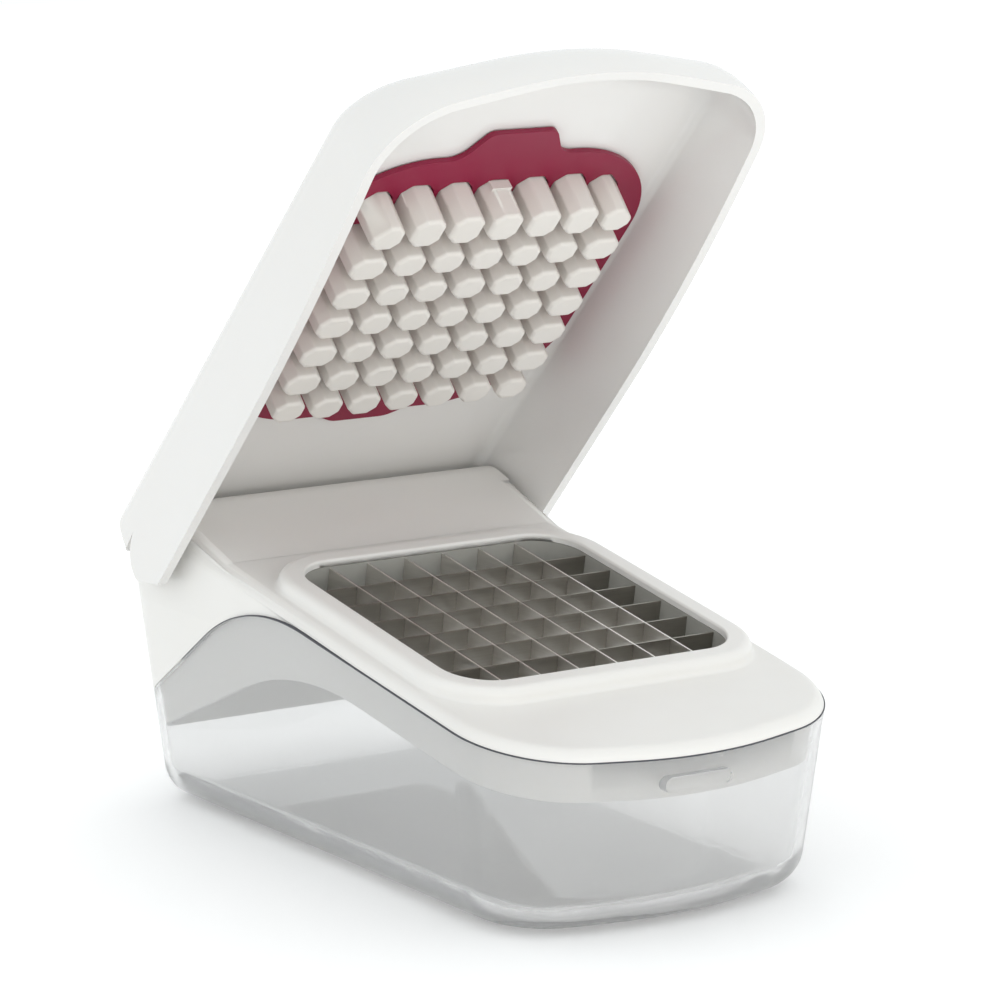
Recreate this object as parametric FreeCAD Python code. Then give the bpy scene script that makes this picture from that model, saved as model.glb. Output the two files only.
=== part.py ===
import FreeCAD, Part
import math
import os

os.makedirs("parts", exist_ok=True)
V = FreeCAD.Vector

# ---- placing: the cutting deck is tilted above the table ----
deck_tilt = 10.15            # slope of the deck, falling towards the front
grid_height = 68.5          # grid centre (blade top) above the table
grid_set_back = 12.5        # grid centre behind the middle of the container
open_angle = 56.3           # lid as it stands in the rest pose

# ---- container ----
base_half_width = 51.5
base_front = 95.5
base_rear = 98.5
side_draft = 0.105
front_draft = 0.163
rear_draft = 0.155
front_corner_r = 25.0
rear_corner_r = 11.5
least_corner_r = 3.0        # of the inner walls and the pad
bow_r = 100.0               # shallow bow of the front
bow_angle = 13.0            # how far the front turns back at its corners
wall = 2.5
base_thick = 4.0
base_edge_r = 10.5
loft_height = 110.0

# ---- non-slip pad under the container ----
pad_height = 2.5
pad_drop = 1.0              # how far the pad stands below the container
pad_inset = 11.5
pad_fit = 0.05

# ---- seam between container and deck, in the deck's own plane ----
seam_z = -4.7
seam_bend_y = 16.0
seam_bend_r = 75.0
seam_fall_angle = 43.0
seam_gap = 0.35
skirt_depth = 11.5
skirt_bend_y = -10.0
skirt_bend_r = 108.0
skirt_fall_angle = 33.0
skirt_wall = 2.0
skirt_fit = 0.4

# ---- deck ----
deck_top_z = -1.5
roof_thick = 2.4
deck_edge_r = 4.5
rise_start_y = 62.0
barrel_r = 13.0
ledge_z = -21.0             # shelf behind the hinge barrel
barrel_start_y = 88.0       # where the barrel's ends begin
hump_half = 57.6            # slope that rises to the barrel
far = 160.0

# ---- opening and raised rim ----
open_half_x = 45.5
open_half_y = 46.0
open_corner_r = 13.0
rim_top_z = 2.7
rim_width = 7.1              # rim's outer side from the opening
rim_round = 2.7
rim_foot_r = 1.5            # the rim's side runs out into the deck over this radius
rim_inner_r = 0.7
lip_thick = 2.0             # rim's edge that hides the blade frame's top
collar_wall = 2.2
collar_bottom_z = -9.0

# ---- blade frame and blades ----
pitch = 12.5
cells = 7
frame_wall = 1.8
frame_fit = 0.15
flange_thick = 1.8
flange_out = 3.2
blade_thick = 0.5
blade_height = 6.3
blade_seat = 1.2
blade_fit = 0.04

# ---- hinge ----
hinge_y = 95.9
hinge_z = -9.5
pin_r = 3.0
pin_clear = 0.06
pin_in_deck = 10.0
pin_cover = 1.75            # lid wall left outside the pins' ends
pin_end_gap = 0.3
boss_r = 6.0
boss_floor = 2.0            # closed end behind the pins
boss_reach = 58.3           # end of the bosses that carry the pins
deck_half_max = 57.85       # the deck's sides go no wider than this
barrel_half = 56.8

# ---- lid ----
lid_low_z = -30.0
lid_high_z = 14.0
lid_half_low = 65.8
lid_half_high = 59.7
lid_front = 105.5
lid_rear = 106.0
lid_corner_r = 26.0
lid_rear_corner_r = 2.0
lid_top_z = 12.4
lid_nose_r = 27.5
lid_edge_r = 7.5
lid_wall = 3.0
lid_ceiling_z = 5.5         # underside of the lid's thick top
ceiling_edge_r = 2.5
ceiling_nose_r = 20.0
rim_rear_z = -23.2
rim_level_y = 22.0          # ahead of this the rim curves up to the front
rim_level_z = -22.0
rim_mid_z = -16.6
rim_mid_y = -61.0
rim_front_z = -11.0
lobe_r = 8.6                # rounded end of the lid's side around the hinge
lobe_top_angle = 84.0       # where the lobe's round starts, above level
lobe_low_angle = -35.0      # and where it ends
lip_z = -1.7                # the top's rear edge hangs down to here
lip_depth = 1.5
rim_end_y = 91.0

# ---- pusher ----
peg_half_x = 5.1
peg_half_y = 4.6
peg_forward = 0.4           # pegs' tips stand this much ahead of the middle of their cells
peg_lean = 1.0              # and their roots this much further
peg_margin = 1.5            # outer pegs to the opening's wall
peg_tip_z = -8.2
peg_tip_r = 1.2
peg_flat = 2.7              # how much the pegs' flattened corners take off each side
peg_round = 1.3             # rounding of all upright edges
peg_corner_margin = 3.0     # the four corner pegs stand further in
peg_corner_flat = 4.3
peg_draft = 0.3
pusher_thick = 3.0          # the pegs' backing plate, sunk in a pocket of the lid's top
pusher_fit = 0.1
pusher_half_x = 50.0
pusher_half_y = 51.0
pusher_corner_r = 22.0
nub_width = 6.4
nub_height = 2.8
nub_deep = 1.5
nub_margin = 0.4            # nub's front to the opening's wall

# ---- stripper plate ----
strip_face_z = 3.5
strip_thick = 1.6
strip_fit = 0.35
strip_side_gap = 0.6
strip_front = 55.0
strip_rear = 56.5
strip_front_r = 34.0
strip_rear_r = 34.0
tab_reach = 10.0
tab_half = 10.5
tab_flare = 6.0
tab_round = 7.0
tongue_reach = 3.2          # low tongue at the comb's rear
tongue_half = 9.0

# ---- grip moulded on the front of the container ----
pill_half = 10.8
pill_radius = 2.2
pill_side = -4.0            # grip's middle from the container's middle
pill_z = -11.0              # height of the grip in the deck's plane
pill_proud = 2.4
pill_edge_r = 0.8


def rounded(corners, z):
    """Closed wire through (x, y, radius) corners, each rounded by its radius."""
    n = len(corners)
    starts = []
    mids = []
    ends = []
    for i in range(n):
        px, py, _ = corners[i - 1]
        x, y, r = corners[i]
        nx, ny, _ = corners[(i + 1) % n]
        p = V(x, y, z)
        a = V(px, py, z).sub(p)
        b = V(nx, ny, z).sub(p)
        a.normalize()
        b.normalize()
        half = 0.5 * a.getAngle(b)
        reach = r / math.tan(half)
        mid = a.add(b)
        mid.normalize()
        starts.append(p.add(V(a).multiply(reach)))
        ends.append(p.add(V(b).multiply(reach)))
        mids.append(p.add(V(mid).multiply(r / math.sin(half) - r)))
    edges = []
    for i in range(n):
        edges.append(Part.Arc(starts[i], mids[i], ends[i]).toShape())
        nxt = starts[(i + 1) % n]
        if ends[i].distanceToPoint(nxt) > 1e-6:
            edges.append(Part.LineSegment(ends[i], nxt).toShape())
    return Part.Wire(edges)


def rounded_box(half_x, half_y, r, z0, z1):
    corners = [(half_x, half_y, r), (half_x, -half_y, r), (-half_x, -half_y, r), (-half_x, half_y, r)]
    return Part.Face(rounded(corners, z0)).extrude(V(0, 0, z1 - z0))


def bowed(half, front, rear, r_front, r_rear, z):
    """Plan outline: straight sides, rounded corners and a bowed front."""
    turn = math.radians(bow_angle)
    nose = -front - bow_r * (1.0 / math.cos(turn) - 1.0)
    side_y = nose + half * math.tan(turn)
    corners = [
        (half, rear, r_rear),
        (half, side_y, r_front),
        (0.0, nose, bow_r),
        (-half, side_y, r_front),
        (-half, rear, r_rear),
    ]
    return rounded(corners, z)


def body_wire(inset, z):
    return bowed(
        base_half_width + side_draft * z - inset,
        base_front + front_draft * z - inset,
        base_rear + rear_draft * z - inset,
        front_corner_r + 0.5 * (side_draft + front_draft) * z - inset,
        max(rear_corner_r + side_draft * z - inset, least_corner_r),
        z,
    )


def body_loft(inset, z0, z1):
    return Part.makeLoft([body_wire(inset, z0), body_wire(inset, z1)], True, True)


def round_edges(shape, r, keep):
    edges = [e for e in shape.Edges if keep(e)]
    return shape.makeFillet(r, edges)


def at_z(z):
    return lambda e: abs(e.BoundBox.ZMin - z) < 1e-4 and abs(e.BoundBox.ZMax - z) < 1e-4


def place(shape):
    """From the deck's plane (origin at the grid centre) to the standing object."""
    s = shape.copy()
    s.rotate(V(0, 0, 0), V(1, 0, 0), deck_tilt)
    s.translate(V(0, -grid_set_back, grid_height))
    return s


def open_lid(shape):
    s = shape.copy()
    s.rotate(V(0, hinge_y, hinge_z), V(1, 0, 0), -open_angle)
    return place(s)


def prism(edges, half=far):
    """Side profile in the YZ plane, extruded across the whole width."""
    face = Part.Face(Part.Wire(edges))
    face.translate(V(-half, 0, 0))
    return face.extrude(V(2 * half, 0, 0))


def chain(points):
    out = []
    for a, b in zip(points, points[1:]):
        out.append(Part.LineSegment(V(0, a[0], a[1]), V(0, b[0], b[1])).toShape())
    return out


def falling(z, bend_y, bend_r, fall):
    """Level line that bends down over an arc and then falls straight."""
    t = math.radians(fall)
    p0 = (-far, z)
    p1 = (bend_y, z)
    pm = (bend_y + bend_r * math.sin(t / 2), z - bend_r * (1 - math.cos(t / 2)))
    p2 = (bend_y + bend_r * math.sin(t), z - bend_r * (1 - math.cos(t)))
    p3 = (far, p2[1] - (far - p2[0]) * math.tan(t))
    arc = Part.Arc(V(0, p1[0], p1[1]), V(0, pm[0], pm[1]), V(0, p2[0], p2[1])).toShape()
    return chain([p0, p1]) + [arc] + chain([p2, p3]), p0, p3


def above(z, bend_y, bend_r, fall):
    edges, p0, p3 = falling(z, bend_y, bend_r, fall)
    return place(prism(edges + chain([p3, (far, far), (-far, far), p0])))


def below_top(drop):
    """Region under the deck's top line, lowered by drop."""
    flat_z = deck_top_z - drop
    r = barrel_r - drop
    rise = math.atan2(hinge_z + barrel_r - deck_top_z, hinge_y - rise_start_y)
    start = math.pi / 2 + rise
    a0 = (hinge_y + r * math.cos(start), hinge_z + r * math.sin(start))
    slope_y = a0[0] - (a0[1] - flat_z) / math.tan(rise)
    mid = (start - math.radians(40)) / 2
    am = (hinge_y + r * math.cos(mid), hinge_z + r * math.sin(mid))
    low = math.radians(-40)
    a1 = (hinge_y + r * math.cos(low), hinge_z + r * math.sin(low))
    shelf = ledge_z - drop
    arc = Part.Arc(V(0, a0[0], a0[1]), V(0, am[0], am[1]), V(0, a1[0], a1[1])).toShape()
    edges = chain([(-far, flat_z), (slope_y, flat_z), a0])
    edges += [arc]
    edges += chain([a1, (a1[0], shelf), (far, shelf), (far, -far), (-far, -far), (-far, flat_z)])
    return place(prism(edges))


def save(name, shape):
    if shape.ShapeType == "Compound" and len(shape.Solids) == 1:
        shape = shape.Solids[0]
    shape.exportStep("parts/" + name + ".step")


# ---------------------------------------------------------------- container
outer = body_loft(0.0, pad_drop, loft_height)
outer = round_edges(outer, base_edge_r, at_z(pad_drop))
floor_z = pad_drop + base_thick
hollow = body_loft(wall, floor_z, loft_height + 1.0)
hollow = round_edges(hollow, base_edge_r - wall, at_z(floor_z))
over_seam = above(seam_z, seam_bend_y, seam_bend_r, seam_fall_angle)


def pad_solid(extra):
    return Part.Face(body_wire(pad_inset - extra, 0.0)).extrude(V(0, 0, pad_height + extra))


tilt = math.radians(deck_tilt)


def pill(grow, y0, y1):
    """Flat-ended capsule that runs along Y, in the standing object's frame."""
    r = pill_radius + grow
    h = pill_half + grow - r
    corners = [(h + r, r, r), (h + r, -r, r), (-h - r, -r, r), (-h - r, r, r)]
    n = V(0, 0, 0)
    w = rounded([(x, y, q - 1e-3) for x, y, q in corners], 0.0)
    s = Part.Face(w).extrude(V(0, 0, y1 - y0))
    s.rotate(n, V(1, 0, 0), -90)
    s.translate(V(pill_side, y0, pill_height))
    return s


# y is measured along the deck, so the pill's height follows from where the front wall crosses it
front_guess = -(base_front + front_draft * (grid_height + seam_z))
pill_height = grid_height + pill_z * math.cos(tilt) + (front_guess + grid_set_back) * math.sin(tilt)
front_face = -(base_front + front_draft * pill_height)
grip = pill(0.0, front_face - pill_proud, front_face + 0.5 * wall)
front_edges = [e for e in grip.Edges if abs(e.BoundBox.YMax - (front_face - pill_proud)) < 1e-4]
grip = grip.makeFillet(pill_edge_r, front_edges)

container = outer.cut(hollow).cut(over_seam).cut(pad_solid(pad_fit)).fuse(grip)
save("container", container)
save("base_pad", pad_solid(0.0))

# ---------------------------------------------------------------- deck
deck_low = above(seam_z + seam_gap, seam_bend_y, seam_bend_r, seam_fall_angle)
skirt_low = above(seam_z - skirt_depth, skirt_bend_y, skirt_bend_r, skirt_fall_angle)
top_region = below_top(0.0)
clip = Part.makeBox(2 * deck_half_max, 4 * far, 4 * far, V(-deck_half_max, -2 * far, -far))
shell = body_loft(0.0, pad_drop, loft_height).common(clip)
flat_part = Part.makeBox(2 * far, far + barrel_start_y, far + deck_top_z, V(-far, -far, -far))
flat = shell.common(place(flat_part))


def on_top(e):
    """Edges of the flat deck where it meets the front and the sides."""
    p = e.valueAt(0.5 * (e.FirstParameter + e.LastParameter))
    y = (p.y + grid_set_back) * math.cos(tilt) + (p.z - grid_height) * math.sin(tilt)
    z = (p.z - grid_height) * math.cos(tilt) - (p.y + grid_set_back) * math.sin(tilt)
    return abs(z - deck_top_z) < 1e-3 and y < barrel_start_y - 1e-3


flat = flat.makeFillet(deck_edge_r, [e for e in flat.Edges if on_top(e)])
split_z = deck_top_z - deck_edge_r
high_part = Part.makeBox(2 * barrel_half, far, far, V(-barrel_half, barrel_start_y, split_z))
low_part = Part.makeBox(2 * far, far, far, V(-far, barrel_start_y, split_z - far))
rear = shell.common(top_region).common(place(high_part.fuse(low_part)))
hump_low = deck_top_z - 2.0 * deck_edge_r
hump_long = barrel_start_y - rise_start_y + 2.0
hump = Part.makeBox(2 * hump_half, hump_long, 2 * barrel_r, V(-hump_half, rise_start_y, hump_low))
hump = place(hump).common(top_region)


def on_slope(e):
    """The slope's two side edges, along the deck."""
    box = e.BoundBox
    return box.XLength < 1e-3 and box.YLength > 20.0 and box.ZMin > grid_height + 5.0


hump = hump.makeFillet(deck_edge_r, [e for e in hump.Edges if on_slope(e)])
cover = flat.fuse(rear).fuse(hump.common(shell)).common(deck_low)
skirt_inset = wall + skirt_fit
skirt = body_loft(skirt_inset, pad_drop, loft_height).common(below_top(roof_thick / 2)).common(skirt_low)
deck = cover.fuse(skirt)
cavity = body_loft(skirt_inset + skirt_wall, pad_drop - 5.0, loft_height + 1.0)
cavity = cavity.common(below_top(roof_thick))

hole_x = open_half_x + frame_wall + frame_fit
hole_y = open_half_y + frame_wall + frame_fit
hole_r = open_corner_r + frame_wall + frame_fit
collar_x = hole_x + collar_wall
collar_y = hole_y + collar_wall
collar = rounded_box(collar_x, collar_y, hole_r + collar_wall, collar_bottom_z, deck_top_z)
lip_low_z = rim_top_z - lip_thick
frame_room = rounded_box(hole_x, hole_y, hole_r, -far, lip_low_z)
opening = rounded_box(open_half_x, open_half_y, open_corner_r, -far, far)


def rim_section(out, z):
    x = open_half_x + out
    y = open_half_y + out
    r = open_corner_r + out
    return rounded([(x, y, r), (x, -y, r), (-x, -y, r), (-x, y, r)], z)


# the rim's side: a hollow foot, then a rounded top, then a small inner rounding
sections = [(rim_width + rim_foot_r, deck_top_z - 1.0)]
for k in range(6):
    turn = math.radians(18.0 * k)
    out = rim_width + rim_foot_r * (1.0 - math.sin(turn))
    sections.append((out, deck_top_z + rim_foot_r * (1.0 - math.cos(turn))))
for k in range(1, 7):
    turn = math.radians(15.0 * k)
    out = rim_width - rim_round * (1.0 - math.cos(turn))
    sections.append((out, rim_top_z - rim_round * (1.0 - math.sin(turn))))
rim = Part.makeLoft([rim_section(out, z) for out, z in sections], True, True)
rim = rim.cut(opening)
rim_edges = [e for e in rim.Edges if at_z(rim_top_z)(e) and abs(e.BoundBox.XMax) < open_half_x + 1e-3]
rim_edges = [e for e in rim_edges if abs(e.BoundBox.YMax) < open_half_y + 1e-3]
rim = rim.makeFillet(rim_inner_r, rim_edges)
deck = deck.cut(cavity).cut(place(opening)).fuse(place(collar)).fuse(place(rim)).cut(place(frame_room))

# bosses in the barrel's ends, bored for the hinge pins
for side in (-1, 1):
    axis = V(side, 0, 0)
    root = boss_reach - pin_in_deck
    inner_end = V(side * (root - boss_floor), hinge_y, hinge_z)
    boss = Part.makeCylinder(boss_r, pin_in_deck + boss_floor, inner_end, axis)
    bore = Part.makeCylinder(pin_r, pin_in_deck + 5.0, V(side * root, hinge_y, hinge_z), axis)
    deck = deck.fuse(place(boss)).cut(place(bore))
deck = deck.removeSplitter()
save("deck_body", deck)



def lid_half_at(z):
    return lid_half_low + (lid_half_high - lid_half_low) * (z - lid_low_z) / (lid_high_z - lid_low_z)


# ---------------------------------------------------------------- hinge pins
pin_reach = lid_half_at(hinge_z) - pin_cover
for side, name in ((-1, "hinge_pin_left"), (1, "hinge_pin_right")):
    length = pin_reach - boss_reach + pin_in_deck
    root_x = side * (boss_reach - pin_in_deck)
    pin = Part.makeCylinder(pin_r, length, V(root_x, hinge_y, hinge_z), V(side, 0, 0))
    tip_x = root_x + side * length
    tip_edges = [e for e in pin.Edges if abs(e.BoundBox.Center.x - tip_x) < 1e-4]
    save(name, place(pin.makeChamfer(0.4, tip_edges)))

# ---------------------------------------------------------------- blade frame and blades
frame_top = lip_low_z - frame_fit
frame_bottom = collar_bottom_z - frame_fit - flange_thick


def around_opening(out, z0, z1):
    return rounded_box(open_half_x + out, open_half_y + out, open_corner_r + out, z0, z1)


frame = around_opening(frame_wall, frame_bottom, frame_top)
flange = around_opening(flange_out, frame_bottom, frame_bottom + flange_thick)
frame = frame.fuse(flange).cut(opening).removeSplitter()

half_count = (cells - 2) / 2.0
places = [(k - half_count) * pitch for k in range(cells - 1)]
half_thick = blade_thick / 2
long_blades = []
cross_blades = []
for x in places:
    reach = open_half_y + blade_seat
    b = Part.makeBox(blade_thick, 2 * reach, blade_height, V(x - half_thick, -reach, -blade_height))
    for y in places:
        slot = half_thick + blade_fit
        b = b.cut(Part.makeBox(4.0, 2 * slot, blade_height, V(x - 2.0, y - slot, -1.5 * blade_height)))
    long_blades.append(b)
for y in places:
    reach = open_half_x + blade_seat
    b = Part.makeBox(2 * reach, blade_thick, blade_height, V(-reach, y - half_thick, -blade_height))
    for x in places:
        slot = half_thick + blade_fit
        b = b.cut(Part.makeBox(2 * slot, 4.0, blade_height, V(x - slot, y - 2.0, -0.5 * blade_height)))
    cross_blades.append(b)
t = half_thick + blade_fit
slot_high = blade_height + blade_fit
for x in places:
    reach = open_half_y + blade_seat + blade_fit
    frame = frame.cut(Part.makeBox(2 * t, 2 * reach, slot_high, V(x - t, -reach, -slot_high)))
for y in places:
    reach = open_half_x + blade_seat + blade_fit
    frame = frame.cut(Part.makeBox(2 * reach, 2 * t, slot_high, V(-reach, y - t, -slot_high)))
save("blade_frame", place(frame))
for i, b in enumerate(long_blades):
    save("long_blade_%d" % (i + 1), place(b))
for i, b in enumerate(cross_blades):
    save("cross_blade_%d" % (i + 1), place(b))

# ---------------------------------------------------------------- lid (drawn closed)


def lid_wire(side_in, front_in, grow, z):
    half = lid_half_at(z) - side_in
    front = lid_front - front_in
    r = lid_corner_r - 0.5 * (side_in + front_in)
    return bowed(half, front, lid_rear + grow, r, lid_rear_corner_r, z)


def round_in(r, z, top):
    """How far a top edge of radius r has drawn in at height z."""
    over = max(0.0, z - (top - r))
    return r - math.sqrt(max(0.0, r * r - over * over))


def lid_solid(inset, top, nose, edge, grow):
    levels = [lid_low_z - grow]
    levels += [top - nose + nose * math.sin(math.radians(8.0 * k)) for k in range(6)]
    levels += [top - edge + edge * math.sin(math.radians(10.0 * k)) for k in range(10)]
    levels = sorted(set(round(z, 6) for z in levels))
    wires = []
    for z in levels:
        wires.append(lid_wire(inset + round_in(edge, z, top), inset + round_in(nose, z, top), grow, z))
    return Part.makeLoft(wires, True, True)


def lid_rim_cut():
    front_y = -lid_front + 4.0
    level = V(0, rim_level_y, rim_level_z)
    arc = Part.Arc(V(0, front_y, rim_front_z), V(0, rim_mid_y, rim_mid_z), level).toShape()
    edges = chain([(-far, rim_front_z), (front_y, rim_front_z)]) + [arc]
    edges += chain([(rim_level_y, rim_level_z), (lid_rear, rim_rear_z), (far, rim_rear_z), (far, -far)])
    edges += chain([(far, -far), (-far, -far), (-far, rim_front_z)])
    return prism(edges)


def lid_rear_cut():
    """What is taken off behind the sides: under the rear lip, around the hinge and down to the rim."""
    lobe = []
    for angle in (lobe_top_angle, 0.5 * (lobe_top_angle + lobe_low_angle), lobe_low_angle):
        turn = math.radians(angle)
        lobe.append((hinge_y + lobe_r * math.cos(turn), hinge_z + lobe_r * math.sin(turn)))
    notch, out, low = lobe
    arc = Part.Arc(V(0, notch[0], notch[1]), V(0, out[0], out[1]), V(0, low[0], low[1])).toShape()
    edges = chain([(far, lip_z), (lid_rear - lip_depth, lip_z), notch]) + [arc]
    edges += chain([low, (rim_end_y, rim_rear_z - 1.0), (rim_end_y, -far), (far, -far), (far, lip_z)])
    return prism(edges)


lid = lid_solid(0.0, lid_top_z, lid_nose_r, lid_edge_r, 0.0)
hollow_lid = lid_solid(lid_wall, lid_ceiling_z, ceiling_nose_r, ceiling_edge_r, 2.0)
lid = lid.cut(hollow_lid).cut(lid_rim_cut()).cut(lid_rear_cut())
pocket_top = lid_ceiling_z + pusher_thick
pocket_x = pusher_half_x + pusher_fit
pocket_y = pusher_half_y + pusher_fit
pocket = rounded_box(pocket_x, pocket_y, pusher_corner_r + pusher_fit, lid_ceiling_z - 1.0, pocket_top)
lid = lid.cut(pocket)
for side in (-1, 1):
    x0 = side * (boss_reach - 3.0)
    depth = pin_reach + pin_end_gap - boss_reach + 3.0
    lid = lid.cut(Part.makeCylinder(pin_r + pin_clear, depth, V(x0, hinge_y, hinge_z), V(side, 0, 0)))
save("lid_shell", open_lid(lid))

# ---------------------------------------------------------------- pusher block
plate_low = lid_ceiling_z
pusher = rounded_box(pusher_half_x, pusher_half_y, pusher_corner_r, plate_low, pocket_top)
centres = [(k - (cells - 1) / 2.0) * pitch for k in range(cells)]
last = cells - 1


def peg_plan(i, j, grow, lean):
    """Corners of the peg in column i and row j. The outer pegs reach out to the opening's wall."""
    margin = peg_corner_margin if i in (0, last) and j in (0, last) else peg_margin
    x0 = margin - open_half_x if i == 0 else centres[i] - peg_half_x
    x1 = open_half_x - margin if i == last else centres[i] + peg_half_x
    y0 = margin - open_half_y - lean if j == 0 else centres[j] - peg_forward - lean - peg_half_y
    y1 = centres[j] - peg_forward - lean + peg_half_y
    front = peg_corner_flat if j == 0 else peg_flat
    right = front if i == last else peg_flat
    left = front if i == 0 else peg_flat
    bite = grow * (2.0 - math.sqrt(2.0))
    back = peg_flat + bite
    x0 -= grow
    x1 += grow
    y0 -= grow
    y1 += grow
    corners = [(x1 - back, y1), (x1, y1 - back), (x1, y0 + right + bite), (x1 - right - bite, y0)]
    corners += [(x0 + left + bite, y0), (x0, y0 + left + bite), (x0, y1 - back), (x0 + back, y1)]
    return [(x, y, peg_round + grow) for x, y in corners]


pegs = []
for i in range(cells):
    for j in range(cells):
        low = rounded(peg_plan(i, j, -peg_draft, 0.0), peg_tip_z)
        high = rounded(peg_plan(i, j, 0.0, peg_lean), plate_low)
        peg = Part.makeLoft([low, high], True, True)
        pegs.append(round_edges(peg, peg_tip_r, at_z(peg_tip_z)))
nub_corner = V(-nub_width / 2, nub_margin - open_half_y, strip_face_z - nub_height)
nub = Part.makeBox(nub_width, nub_deep, nub_height, nub_corner)
pusher = pusher.multiFuse(pegs + [nub]).removeSplitter()
save("pusher_block", open_lid(pusher))

# ---------------------------------------------------------------- stripper plate
strip_top = strip_face_z + strip_thick
strip_half = lid_half_at(strip_top) - lid_wall - strip_side_gap
strip_half -= round_in(ceiling_edge_r, strip_top, lid_ceiling_z)
tab_root = tab_half + tab_flare
tongue_root = tongue_half + tab_flare
outline = [
    (strip_half, strip_rear, strip_rear_r),
    (strip_half, -strip_front, strip_front_r),
    (tab_root, -strip_front, tab_round),
    (tab_half, -strip_front - tab_reach, tab_round / 2),
    (-tab_half, -strip_front - tab_reach, tab_round / 2),
    (-tab_root, -strip_front, tab_round),
    (-strip_half, -strip_front, strip_front_r),
    (-strip_half, strip_rear, strip_rear_r),
    (-tongue_root, strip_rear, tab_round),
    (-tongue_half, strip_rear + tongue_reach, tab_round),
    (tongue_half, strip_rear + tongue_reach, tab_round),
    (tongue_root, strip_rear, tab_round),
]
strip = Part.Face(rounded(outline, strip_face_z)).extrude(V(0, 0, strip_thick))
windows = []
for i in range(cells):
    for j in range(cells):
        window = Part.Face(rounded(peg_plan(i, j, strip_fit, peg_lean), strip_face_z - 1.0))
        windows.append(window.extrude(V(0, 0, strip_thick + 2.0)))
strip = strip.cut(Part.makeCompound(windows))
save("stripper_plate", open_lid(strip))
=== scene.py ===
import math

import bmesh
import bpy
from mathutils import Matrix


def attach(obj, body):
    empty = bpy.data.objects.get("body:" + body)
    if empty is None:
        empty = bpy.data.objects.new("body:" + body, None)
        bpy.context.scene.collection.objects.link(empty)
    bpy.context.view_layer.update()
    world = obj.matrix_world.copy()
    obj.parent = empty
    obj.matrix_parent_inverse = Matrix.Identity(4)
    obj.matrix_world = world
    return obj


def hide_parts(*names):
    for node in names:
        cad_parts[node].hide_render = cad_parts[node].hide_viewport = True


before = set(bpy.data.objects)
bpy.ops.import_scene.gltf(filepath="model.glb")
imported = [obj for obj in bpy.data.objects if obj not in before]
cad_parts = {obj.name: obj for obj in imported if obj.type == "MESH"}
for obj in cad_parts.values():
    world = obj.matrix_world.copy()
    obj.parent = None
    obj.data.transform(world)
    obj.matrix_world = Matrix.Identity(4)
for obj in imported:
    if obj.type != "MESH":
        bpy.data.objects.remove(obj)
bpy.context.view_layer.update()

# ---------------------------------------------------------------- container
# The clear tub that catches the cut food, with the grip on its front moulded in one with it. It is
# injection moulded in clear SAN, a hard glassy plastic, and its walls flare towards the top so that it
# leaves the mould.


def hex_linear(code):
    parts = [int(code[i:i + 2], 16) / 255 for i in (1, 3, 5)]
    linear = [c / 12.92 if c <= 0.04045 else ((c + 0.055) / 1.055) ** 2.4 for c in parts]
    return (*linear, 1.0)


def add_node(mat, kind, links=(), **settings):
    """One node with its settings and links. links: (output socket, name or index of the input)."""
    node = mat.node_tree.nodes.new(kind)
    for name, value in settings.items():
        if hasattr(node, name):
            setattr(node, name, value)
        else:
            node.inputs[name.replace("_", " ")].default_value = value
    for source, target in links:
        mat.node_tree.links.new(source, node.inputs[target])
    return node


def new_finish(name, **shader):
    mat = bpy.data.materials.new(name)
    mat.use_nodes = True
    bsdf = mat.node_tree.nodes["Principled BSDF"]
    for key, value in shader.items():
        bsdf.inputs[key.replace("_", " ")].default_value = value
    return mat, bsdf


def join(mat, source, target):
    mat.node_tree.links.new(source, target)


def per_mm(size):
    """Noise scale that gives patches of about this size in millimetres."""
    return 1000.0 / size


# the part of a noise's range where most of it lies
middle = {"From_Min": 0.35, "From_Max": 0.65}

# clear SAN: polished like glass, with a faint flow ripple and a little haze from washing
clear_san, bsdf = new_finish("clear_san_moulded", Base_Color=hex_linear("#FFFFFF"), IOR=1.4, Alpha=0.94)
bsdf.inputs["Transmission Weight"].default_value = 0.84
place = add_node(clear_san, "ShaderNodeTexCoord")
flow = add_node(
    clear_san, "ShaderNodeTexNoise", [(place.outputs["Object"], "Vector")], Scale=per_mm(30.0), Detail=1.0
)
ripple = add_node(
    clear_san, "ShaderNodeBump", [(flow.outputs[0], "Height")], Strength=0.05, Distance=0.0004
)
join(clear_san, ripple.outputs["Normal"], bsdf.inputs["Normal"])
wash = add_node(
    clear_san, "ShaderNodeTexNoise", [(place.outputs["Object"], "Vector")], Scale=per_mm(12.0), Detail=4.0
)
haze = add_node(
    clear_san, "ShaderNodeMapRange", [(wash.outputs[0], "Value")], **middle, To_Min=0.015, To_Max=0.05
)
join(clear_san, haze.outputs["Result"], bsdf.inputs["Roughness"])
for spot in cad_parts["container"].material_slots:
    spot.material = clear_san
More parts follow.
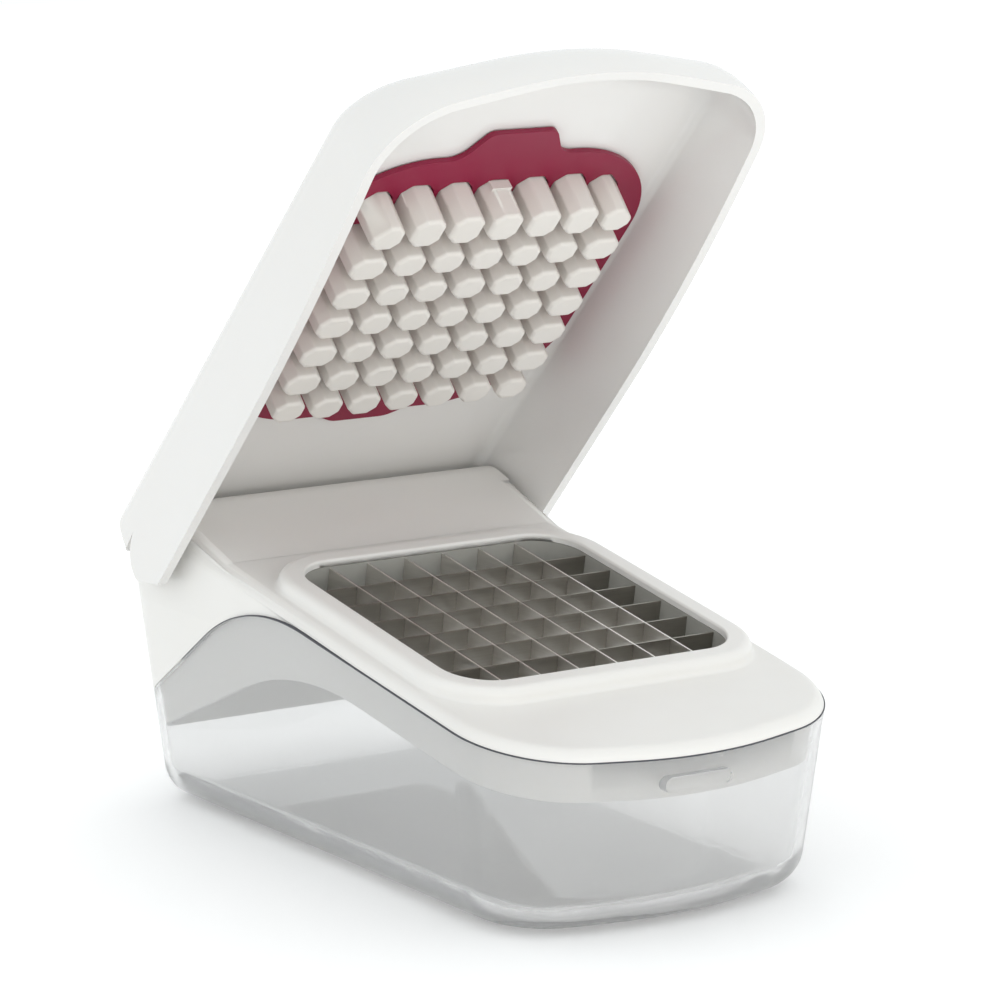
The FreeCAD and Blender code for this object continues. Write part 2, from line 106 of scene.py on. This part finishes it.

# ---------------------------------------------------------------- painted seam shadow
# A thin dark strip on the container's rim, in the gap under the deck, along the front and the sides:
# painted shadow of that gap, not a part of the chopper. It ends where the rim runs low at the rear and
# stays on the rim.

# painted shadow of the seam gap: matt charcoal, mottled in patches
seam_shadow_paint, bsdf = new_finish("charcoal_seam_painted_shadow", IOR=1.5)
place = add_node(seam_shadow_paint, "ShaderNodeTexCoord")
dust = add_node(
    seam_shadow_paint, "ShaderNodeTexNoise", [(place.outputs["Object"], "Vector")], Scale=per_mm(6.0), Detail=4.0
)
tone = add_node(seam_shadow_paint, "ShaderNodeMix", [(dust.outputs[0], "Factor")], data_type="RGBA")
tone.inputs["A"].default_value = hex_linear("#3E3F45")
tone.inputs["B"].default_value = hex_linear("#55565C")
join(seam_shadow_paint, tone.outputs["Result"], bsdf.inputs["Base Color"])
matt = add_node(
    seam_shadow_paint, "ShaderNodeMapRange", [(dust.outputs[0], "Value")], **middle, To_Min=0.5, To_Max=0.7
)
join(seam_shadow_paint, matt.outputs["Result"], bsdf.inputs["Roughness"])

# a node's own points closer than this are one point, in metres
weld_distance = 2e-6
shadow_strip_thick = 0.00028
above_grip = 0.0435  # the bead keeps above this height, so it misses the grip and the low rear of the rim
# the painted shadow strip: the rim's upward faces, thickened down into the gap under the deck
shadow_strip = bmesh.new()
shadow_strip.from_mesh(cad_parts["container"].data)
bmesh.ops.remove_doubles(shadow_strip, verts=shadow_strip.verts, dist=weld_distance)
shadow_strip.normal_update()
off_rim = []
for face in shadow_strip.faces:
    looks_up = abs(face.normal.x) < 0.01 and face.normal.z > 0.5
    if not looks_up or face.calc_center_median().z <= above_grip:
        off_rim.append(face)
bmesh.ops.delete(shadow_strip, geom=off_rim, context="FACES")
bmesh.ops.solidify(shadow_strip, geom=shadow_strip.faces[:], thickness=-shadow_strip_thick)
shadow_strip_mesh = bpy.data.meshes.new("seam_painted_shadow")
shadow_strip.to_mesh(shadow_strip_mesh)
shadow_strip.free()
shadow_strip_mesh.materials.append(seam_shadow_paint)
seam_shadow = bpy.data.objects.new("seam_painted_shadow", shadow_strip_mesh)
bpy.context.collection.objects.link(seam_shadow)
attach(seam_shadow, "container")

# ---------------------------------------------------------------- pad
# The soft sheet under the floor that keeps the chopper from sliding. It is moulded in white silicone
# rubber and pressed into a recess of the container's floor.

# silicone: matt white, with a fine talc-like mottle
silicone, bsdf = new_finish("silicone_moulded", IOR=1.41, Roughness=0.55)
place = add_node(silicone, "ShaderNodeTexCoord")
talc = add_node(
    silicone, "ShaderNodeTexNoise", [(place.outputs["Object"], "Vector")], Scale=per_mm(4.0), Detail=5.0
)
tone = add_node(silicone, "ShaderNodeMix", [(talc.outputs[0], "Factor")], data_type="RGBA")
tone.inputs["A"].default_value = hex_linear("#F2F3F3")
tone.inputs["B"].default_value = hex_linear("#F8F9F9")
join(silicone, tone.outputs["Result"], bsdf.inputs["Base Color"])
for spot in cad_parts["base_pad"].material_slots:
    spot.material = silicone

# ---------------------------------------------------------------- deck
# The white cutting deck: one moulding with the rim round the blades, the skirt that drops inside the
# container and the barrel for the hinge. Injection moulded in ABS, satin on top so that it doesn't show
# scratches.


def white_plastic(name, pale, warm, low_gloss, high_gloss, peel):
    """Moulded ABS: an even white with warmer patches, an orange-peel skin and faint wiping marks."""
    mat, shader = new_finish(name, IOR=1.5)
    shader.inputs["Subsurface Weight"].default_value = 0.08
    shader.inputs["Subsurface Radius"].default_value = (0.0025, 0.0022, 0.0018)
    spot = add_node(mat, "ShaderNodeTexCoord")
    melt = add_node(
        mat, "ShaderNodeTexNoise", [(spot.outputs["Object"], "Vector")], Scale=per_mm(45.0), Detail=2.0
    )
    tint = add_node(mat, "ShaderNodeMix", [(melt.outputs[0], "Factor")], data_type="RGBA")
    tint.inputs["A"].default_value = hex_linear(pale)
    tint.inputs["B"].default_value = hex_linear(warm)
    join(mat, tint.outputs["Result"], shader.inputs["Base Color"])
    wiping = add_node(
        mat, "ShaderNodeTexNoise", [(spot.outputs["Object"], "Vector")], Scale=per_mm(9.0), Detail=5.0
    )
    gloss = add_node(mat, "ShaderNodeMapRange", [(wiping.outputs[0], "Value")], **middle)
    gloss.inputs["To Min"].default_value = low_gloss
    gloss.inputs["To Max"].default_value = high_gloss
    join(mat, gloss.outputs["Result"], shader.inputs["Roughness"])
    skin = add_node(
        mat, "ShaderNodeTexNoise", [(spot.outputs["Object"], "Vector")], Scale=per_mm(0.9), Detail=2.0
    )
    relief = add_node(
        mat, "ShaderNodeBump", [(skin.outputs[0], "Height")], Strength=peel, Distance=0.00005
    )
    join(mat, relief.outputs["Normal"], shader.inputs["Normal"])
    return mat


# edges that turn by more than this stay sharp
sharp_angle = math.radians(34.0)


def moulded_copy(name, body, mat, edge_mm=0.0):
    """The node's own form, shaded smooth as moulded, with its sharp edges broken by edge_mm."""
    shape = bmesh.new()
    shape.from_mesh(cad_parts[name].data)
    bmesh.ops.remove_doubles(shape, verts=shape.verts, dist=weld_distance)
    bmesh.ops.dissolve_limit(shape, angle_limit=math.radians(0.3), verts=shape.verts, edges=shape.edges)
    mesh = bpy.data.meshes.new(name + "_moulded")
    shape.to_mesh(mesh)
    shape.free()
    mesh.materials.append(mat)
    mesh.shade_smooth()
    mesh.set_sharp_from_angle(angle=sharp_angle)
    piece = bpy.data.objects.new(name + "_moulded", mesh)
    bpy.context.collection.objects.link(piece)
    if edge_mm:
        bevel = piece.modifiers.new("broken_edges", "BEVEL")
        bevel.width = edge_mm / 1000.0
        bevel.segments = 2
        bevel.limit_method = "ANGLE"
        bevel.angle_limit = sharp_angle
    level = piece.modifiers.new("flat_faces_stay_flat", "WEIGHTED_NORMAL")
    level.weight = 90
    level.keep_sharp = True
    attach(piece, body)
    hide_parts(name)
    return piece


# ABS with a satin mould: soft broad highlights, an even clean white
deck_abs = white_plastic("white_abs_satin", "#EAE9E6", "#E8E6E2", 0.30, 0.42, 0.04)
moulded_copy("deck_body", "deck", deck_abs)

# ---------------------------------------------------------------- blades
# Twelve thin strips of hardened stainless steel, slotted together into a grid and held at their ends in
# a grey frame that is pushed up into the deck. They are cut from rolled strip.

# grey ABS: satin, with a fine spark-eroded mould texture
grey_abs, bsdf = new_finish("grey_abs_satin", IOR=1.5)
place = add_node(grey_abs, "ShaderNodeTexCoord")
melt = add_node(
    grey_abs, "ShaderNodeTexNoise", [(place.outputs["Object"], "Vector")], Scale=per_mm(14.0), Detail=3.0
)
tone = add_node(grey_abs, "ShaderNodeMix", [(melt.outputs[0], "Factor")], data_type="RGBA")
tone.inputs["A"].default_value = hex_linear("#9A9993")
tone.inputs["B"].default_value = hex_linear("#A4A39D")
join(grey_abs, tone.outputs["Result"], bsdf.inputs["Base Color"])
grit = add_node(
    grey_abs, "ShaderNodeTexNoise", [(place.outputs["Object"], "Vector")], Scale=per_mm(0.5), Detail=2.0
)
erode = add_node(
    grey_abs, "ShaderNodeBump", [(grit.outputs[0], "Height")], Strength=0.25, Distance=0.00005
)
join(grey_abs, erode.outputs["Normal"], bsdf.inputs["Normal"])
satin = add_node(
    grey_abs, "ShaderNodeMapRange", [(melt.outputs[0], "Value")], **middle, To_Min=0.38, To_Max=0.5
)
join(grey_abs, satin.outputs["Result"], bsdf.inputs["Roughness"])
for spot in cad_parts["blade_frame"].material_slots:
    spot.material = grey_abs


def rolled_steel(name, dark, bright, along):
    """Rolled stainless strip, with fine scratches along the strip."""
    mat, shader = new_finish(name, Metallic=1.0)
    spot = add_node(mat, "ShaderNodeTexCoord")
    turn = add_node(mat, "ShaderNodeMapping", [(spot.outputs["Object"], "Vector")])
    turn.inputs["Scale"].default_value = along
    lines = add_node(
        mat, "ShaderNodeTexNoise", [(turn.outputs["Vector"], "Vector")], Scale=per_mm(0.6), Detail=4.0
    )
    tint = add_node(mat, "ShaderNodeMix", [(lines.outputs[0], "Factor")], data_type="RGBA")
    tint.inputs["A"].default_value = hex_linear(dark)
    tint.inputs["B"].default_value = hex_linear(bright)
    join(mat, tint.outputs["Result"], shader.inputs["Base Color"])
    worn = add_node(
        mat, "ShaderNodeMapRange", [(lines.outputs[0], "Value")], **middle, To_Min=0.30, To_Max=0.46
    )
    join(mat, worn.outputs["Result"], shader.inputs["Roughness"])
    grooves = add_node(
        mat, "ShaderNodeBump", [(lines.outputs[0], "Height")], Strength=0.3, Distance=0.00004
    )
    join(mat, grooves.outputs["Normal"], shader.inputs["Normal"])
    return mat


# stainless steel, one metal in two copies: the strips along the deck painted brighter as painted light,
# the ones across it painted darker as painted shade
lit_long_steel = rolled_steel("stainless_long_painted_light", "#DAD7D2", "#EFECE7", (1.0, 0.03, 1.0))
shaded_cross_steel = rolled_steel("stainless_cross_painted_shade", "#8E8A83", "#A8A49C", (0.03, 1.0, 1.0))
for name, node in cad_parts.items():
    if name.startswith(("long_blade", "hinge_pin")):
        node.material_slots[0].material = lit_long_steel
    if name.startswith("cross_blade"):
        node.material_slots[0].material = shaded_cross_steel

# ---------------------------------------------------------------- lid
# The lid is the lever that presses the food through. It is one deep moulding in glossy white ABS, and
# turns on two steel pins at its rear corners.

# ABS from a polished mould: the sides reflect the light in long soft bands
lid_abs = white_plastic("white_abs_gloss", "#E8E7E5", "#E6E4E1", 0.14, 0.22, 0.04)
moulded_copy("lid_shell", "lid", lid_abs)

# ---------------------------------------------------------------- pegs
# Forty-nine pegs on one plate, sunk into the underside of the lid. One moulding in white ABS, with
# flattened corners and rounded tips, so that the pegs slide between the blades.

# ABS, satin: matt enough that every peg shows a soft shaded side; its white is painted darker and warmer
# than the lid's, as painted shade inside the lid
peg_abs = white_plastic("white_abs_pegs", "#E3DFD9", "#E0DBD5", 0.34, 0.46, 0.06)
moulded_copy("pusher_block", "lid", peg_abs)

# ---------------------------------------------------------------- stripper
# The comb that strips food off the pegs when it is pulled out by its tab. It is a thin sheet moulded in
# magenta polypropylene that snaps in around the roots of the pegs.

# polypropylene: waxy, with light that spreads a little under its skin
magenta_pp, bsdf = new_finish("magenta_polypropylene", IOR=1.49)
bsdf.inputs["Subsurface Weight"].default_value = 0.25
bsdf.inputs["Subsurface Radius"].default_value = (0.003, 0.0006, 0.0012)
place = add_node(magenta_pp, "ShaderNodeTexCoord")
melt = add_node(
    magenta_pp, "ShaderNodeTexNoise", [(place.outputs["Object"], "Vector")], Scale=per_mm(25.0), Detail=3.0
)
tone = add_node(magenta_pp, "ShaderNodeMix", [(melt.outputs[0], "Factor")], data_type="RGBA")
tone.inputs["A"].default_value = hex_linear("#820030")
tone.inputs["B"].default_value = hex_linear("#8D0439")
join(magenta_pp, tone.outputs["Result"], bsdf.inputs["Base Color"])
wax = add_node(
    magenta_pp, "ShaderNodeTexNoise", [(place.outputs["Object"], "Vector")], Scale=per_mm(1.2), Detail=3.0
)
relief = add_node(
    magenta_pp, "ShaderNodeBump", [(wax.outputs[0], "Height")], Strength=0.1, Distance=0.00005
)
join(magenta_pp, relief.outputs["Normal"], bsdf.inputs["Normal"])
sheen = add_node(
    magenta_pp, "ShaderNodeMapRange", [(melt.outputs[0], "Value")], **middle, To_Min=0.42, To_Max=0.52
)
join(magenta_pp, sheen.outputs["Result"], bsdf.inputs["Roughness"])
moulded_copy("stripper_plate", "lid", magenta_pp, edge_mm=0.35)

# ---------------------------------------------------------------- studio
# A plain white sheet under soft light from all sides, with one wide soft lamp low in front that fills
# the lid.
sheet = bmesh.new()
bmesh.ops.create_grid(sheet, x_segments=2, y_segments=2, size=3.0)
sheet_mesh = bpy.data.meshes.new("studio_floor")
sheet.to_mesh(sheet_mesh)
sheet.free()
floor = bpy.data.objects.new("studio_floor", sheet_mesh)
bpy.context.collection.objects.link(floor)
# matt white paper that gives a little light of its own, so that the shadow on it stays pale
paper, bsdf = new_finish("pale_paper", Base_Color=hex_linear("#FFFFFF"), Roughness=0.9)
bsdf.inputs["Emission Color"].default_value = (1.0, 1.0, 1.0, 1.0)
bsdf.inputs["Emission Strength"].default_value = 0.12
sheet_mesh.materials.append(paper)

world = bpy.data.worlds.new("studio")
bpy.context.scene.world = world
world.use_nodes = True
world.node_tree.nodes["Background"].inputs["Color"].default_value = (0.97, 0.995, 1.0, 1.0)
world.node_tree.nodes["Background"].inputs["Strength"].default_value = 1.02


def soft_box(name, spot, aim, size, power):
    data = bpy.data.lights.new(name, "AREA")
    data.shape = "RECTANGLE"
    data.size = size[0]
    data.size_y = size[1]
    data.energy = power
    lamp = bpy.data.objects.new(name, data)
    bpy.context.collection.objects.link(lamp)
    lamp.location = spot
    dx, dy, dz = (a - s for a, s in zip(aim, spot))
    lamp.rotation_euler = (math.atan2(math.hypot(dx, dy), -dz), 0.0, math.atan2(dx, -dy) + math.pi)
    return lamp


fill = soft_box("front_box", (0.0, -1.5, 0.16), (0.0, 0.05, 0.17), (0.9, 0.4), 3.2)
fill.data.color = (1.0, 0.95, 0.9)

lens = bpy.data.cameras.new("view")
lens.lens = 151.2
lens.sensor_width = 36.0
lens.clip_end = 10.0
camera = bpy.data.objects.new("view", lens)
bpy.context.collection.objects.link(camera)
camera.location = (-0.6330, -0.9478, 0.3158)
camera.rotation_euler = (math.radians(90.0 - 10.82), 0.0, math.radians(-33.9))
bpy.context.scene.camera = camera
bpy.context.scene.view_settings.view_transform = "Standard"
